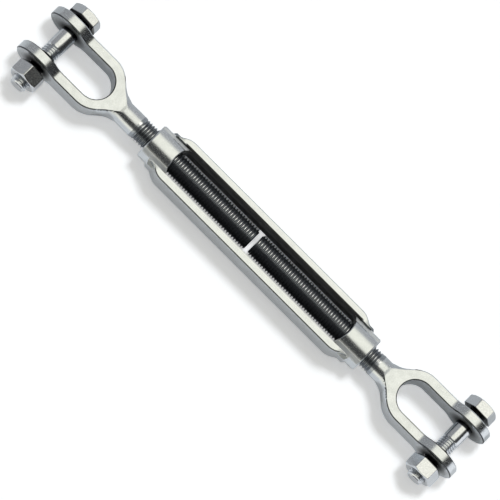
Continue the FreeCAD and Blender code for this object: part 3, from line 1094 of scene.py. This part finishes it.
@dataclass
class Studio:
    """Floor, soft surrounding light and camera."""

    floor_z: float = -15.1
    floor_half: float = 6000.0
    tilt: float = 15.2
    picture_mm: float = 306.35
    lens: float = 450.0
    sensor: float = 36.0
    aim_x: float = -2.95
    aim_across: float = -4.85
    axis_right: tuple[float, float] = (0.7079, -0.7062)
    sheet_colour: str = "#f1f5fa"
    sheet_glow: float = 0.42
    # How much of the glow the metal sees behind and before, as (Y, share): painted reflection of the floor.
    behind: tuple[float, float] = (18.0, 0.1)
    before: tuple[float, float] = (-25.0, 0.8)
    # The glow's level across Y under the frame: painted shadow below the far rail, painted light between the rails.
    under: tuple[tuple[float, float], ...] = (
        (-3.5, 1.0), (-1.5, 1.5), (8.6, 1.5), (9.8, 0.04), (17.0, 0.04), (21.0, 1.0)
    )
    under_reach: float = 40.0
    # The middle gap between the shanks' ends glows more: painted light.
    under_x: tuple[float, float] = (74.0, 78.0)
    gap_middle: tuple[float, float] = (-4.8, 4.5)
    gap_half: tuple[float, float] = (2.4, 8.5)
    gap_fade: float = 0.25
    gap_glow: float = 1.35
    sun_turn: float = 21.0
    sun_width: float = 14.0
    sun_strength: float = 1.38
    world_on_sheet: float = 0.4
    card_x: float = 225.0
    card_top: float = 25.0
    card_half: float = 80.0
    card_glow: float = 1.35
    warm: tuple[float, float, float] = (1.04, 1.0, 0.86)
    walls: tuple[tuple[float, float], ...] = (
        (-100.0, 0.6), (-95.0, 1.5), (-68.0, 1.5), (-62.0, 0.065), (-16.0, 0.06), (-8.0, 0.64)
    )
    roof: tuple[tuple[float, float], ...] = ((-0.51, 0.47), (-0.42, 1.545), (0.48, 1.545), (0.56, 0.045))
    roofed: tuple[tuple[float, float], ...] = ((-16.0, 0.0), (-8.0, 1.0), (40.0, 1.0), (58.0, 0.0))
    poles: tuple[tuple[float, float], ...] = ((-0.9, 1.0), (-0.82, 0.0), (0.7, 0.0), (0.8, 1.0))

    def floor(self) -> None:
        """A plain white sheet that the ears lie on.

        It glows in the camera's eye, so that it is white where no shadow falls. Under the frame the glow is less
        below the far rail, a painted shadow where rail and shank stand close together, and more between the rails, a
        painted pool of light where the light falls through the window. The metal sees most of the glow on the near
        side, and less of it behind, a painted reflection of the floor.
        """
        reach, z = self.floor_half, self.floor_z
        corners = np.array([[-reach, -reach, z], [reach, -reach, z], [reach, reach, z], [-reach, reach, z]])
        sheet = make_object("floor", corners, np.array([[0, 1, 2, 3]]), 180.0)
        material, tree = new_material("white studio sheet")
        path = add_node(tree, "LightPath").outputs
        mirrored = add_node(
            tree, "Math", {0: path["Is Glossy Ray"], 1: path["Is Transmission Ray"]}, operation="MAXIMUM"
        ).outputs[0]
        parts = add_node(tree, "SeparateXYZ", {"Vector": add_node(tree, "TexCoord").outputs["Object"]}).outputs
        (behind, low), (before, high) = self.behind, self.before
        share = add_node(
            tree, "MapRange",
            {"Value": parts["Y"], "From Min": behind * MM, "From Max": before * MM, "To Min": low, "To Max": high},
            clamp=True,
        ).outputs["Result"]
        across = add_node(
            tree, "MapRange",
            {"Value": parts["Y"], "From Min": -self.under_reach * MM, "From Max": self.under_reach * MM}, clamp=True,
        ).outputs["Result"]
        under = add_node(tree, "ValToRGB", {"Fac": across})
        set_stops(under, self.under, -self.under_reach, self.under_reach)
        beyond = falloff(parts["X"], *reversed(self.under_x))
        direct = add_node(tree, "MixRGB", {0: beyond, 1: under.outputs[0], 2: (1.0, 1.0, 1.0, 1.0)}).outputs[0]
        shares = [
            falloff(parts[axis], half - self.gap_fade, half + self.gap_fade, middle)
            for axis, middle, half in zip("XY", self.gap_middle, self.gap_half)
        ]
        gap = add_node(tree, "Math", {0: shares[0], 1: shares[1]}, operation="MULTIPLY").outputs[0]
        direct = add_node(tree, "MixRGB", {0: gap, 1: direct, 2: (self.gap_glow,) * 3 + (1.0,)}).outputs[0]
        plain = add_node(tree, "Math", {0: path["Is Camera Ray"], 1: direct}, operation="MULTIPLY").outputs[0]
        seen = add_node(tree, "Math", {0: mirrored, 1: share, 2: plain}, operation="MULTIPLY_ADD").outputs[0]
        glow = add_node(tree, "Math", {0: seen, 1: self.sheet_glow}, operation="MULTIPLY").outputs[0]
        shader = add_node(
            tree, "BsdfPrincipled",
            {"Base Color": linear(self.sheet_colour), "Roughness": 0.9, "Specular IOR Level": 0.0,
             "Emission Color": (1.0, 1.0, 1.0, 1.0), "Emission Strength": glow},
        )
        add_node(tree, "OutputMaterial", {"Surface": shader.outputs[0]})
        sheet.data.materials.append(material)

    def card(self) -> None:
        """A low white card past the right-hand end, which only the metal sees."""
        x, low, high, half = self.card_x, self.floor_z, self.card_top, self.card_half
        corners = np.array([[x, -half, low], [x, half, low], [x, half, high], [x, -half, high]])
        card = make_object("bounce_card", corners, np.array([[0, 1, 2, 3]]), 180.0)
        material, tree = new_material("white bounce card")
        shader = add_node(tree, "Emission", {"Strength": self.card_glow})
        add_node(tree, "OutputMaterial", {"Surface": shader.outputs[0]})
        card.data.materials.append(material)
        card.visible_camera = False
        card.visible_diffuse = False
        card.visible_shadow = False

    def sun(self) -> None:
        """The lamp that draws the shadows, turned about the threads from straight up and hidden from the metal."""
        data = bpy.data.lights.new("key", "SUN")
        data.energy = self.sun_strength
        data.angle = math.radians(self.sun_width)
        lamp = bpy.data.objects.new("key", data)
        lamp.rotation_euler = (-math.radians(self.sun_turn), 0.0, 0.0)
        lamp.visible_glossy = False
        bpy.context.scene.collection.objects.link(lamp)

    def light(self) -> None:
        """Soft boxes all round, as a world that depends on the direction alone.

        With d the direction, a = atan2(d.y, d.z) turns about the threads from straight up, and d.x leans along
        them. The walls follow a: bright and dark ones stand on the camera's side, and a pale one beyond. The roof
        follows d.x, over the turns that roofed gives and at the poles. What is brighter than 1 is a warm lamp.
        """
        world = bpy.data.worlds.new("soft boxes")
        bpy.context.scene.world = world
        world.use_nodes = True
        tree = world.node_tree
        tree.nodes.clear()
        parts = add_node(tree, "SeparateXYZ", {"Vector": add_node(tree, "TexCoord").outputs["Generated"]}).outputs
        turn = add_node(tree, "Math", {0: parts["Y"], 1: parts["Z"]}, operation="ARCTAN2").outputs[0]
        about, lean = (
            add_node(tree, "MapRange", {"Value": value, "From Min": -reach, "From Max": reach}).outputs["Result"]
            for value, reach in ((turn, math.pi), (parts["X"], 1.0))
        )
        colours = []
        for part, reach, stops in (
            (about, 180.0, self.walls), (lean, 1.0, self.roof), (about, 180.0, self.roofed), (lean, 1.0, self.poles)
        ):
            ramp = add_node(tree, "ValToRGB", {"Fac": part})
            tinted = [
                (place, (*(level * hue for hue in self.warm), 1.0) if level > 1.0 else level) for place, level in stops
            ]
            set_stops(ramp, tinted, -reach, reach)
            colours.append(ramp.outputs[0])
        walls, roof, roofed, poles = colours
        covered = add_node(tree, "MixRGB", {0: roofed, 1: walls, 2: roof}).outputs[0]
        ended = add_node(tree, "MixRGB", {0: poles, 1: covered, 2: roof}).outputs[0]
        strength = add_node(
            tree, "MapRange",
            {"Value": add_node(tree, "LightPath").outputs["Is Diffuse Ray"], "To Min": 1.0,
             "To Max": self.world_on_sheet},
        ).outputs["Result"]
        background = add_node(tree, "Background", {"Color": ended, "Strength": strength})
        add_node(tree, "OutputWorld", {"Surface": background.outputs[0]})

    def camera(self) -> None:
        """A long lens that looks down steeply from the nuts' side, as in the photograph."""
        tilt = math.radians(self.tilt)
        along = Vector((1, 0, 0))
        across = Vector((0, math.cos(tilt), math.sin(tilt)))
        back = Vector((0, -math.sin(tilt), math.cos(tilt)))
        c, s = self.axis_right
        length = math.hypot(c, s)
        right = (along * c - across * s) / length
        up = (along * s + across * c) / length
        aim = (along * self.aim_x + across * self.aim_across) * MM
        distance = self.picture_mm * self.lens / self.sensor * MM
        data = bpy.data.cameras.new("camera")
        data.lens = self.lens
        data.sensor_width = self.sensor
        data.clip_end = 50.0
        camera = bpy.data.objects.new("camera", data)
        bpy.context.scene.collection.objects.link(camera)
        turn = Matrix((right, up, back)).transposed().to_4x4()
        camera.matrix_world = Matrix.Translation(aim + back * distance) @ turn
        bpy.context.scene.camera = camera

    def build(self) -> None:
        """Set everything up, with the plain view transform."""
        bpy.context.scene.view_settings.view_transform = "Standard"
        self.floor()
        self.card()
        self.sun()
        self.light()
        self.camera()


def main() -> None:
    """Build the studio and every piece, in order."""
    logging.basicConfig(level=logging.INFO, format="%(name)s: %(message)s")
    Studio().build()
    finishes = Finishes.build()
    OpenFrame(finishes).build()
    ForkedJaw(finishes, Side.LEFT, Hand.LEFT, crotch_x=-130.9, thread_length=99.0).build()
    ForkedJaw(finishes, Side.RIGHT, Hand.RIGHT, crotch_x=121.3, thread_length=105.4).build()
    JawBolt(finishes, Side.LEFT, head_seat=21.4, nut_seat=21.3, head_turn=14.0, nut_turn=23.0).build()
    JawBolt(finishes, Side.RIGHT, head_seat=22.7, nut_seat=21.2, head_turn=7.0, nut_turn=4.5).build()


if __name__ == "__main__":
    main()
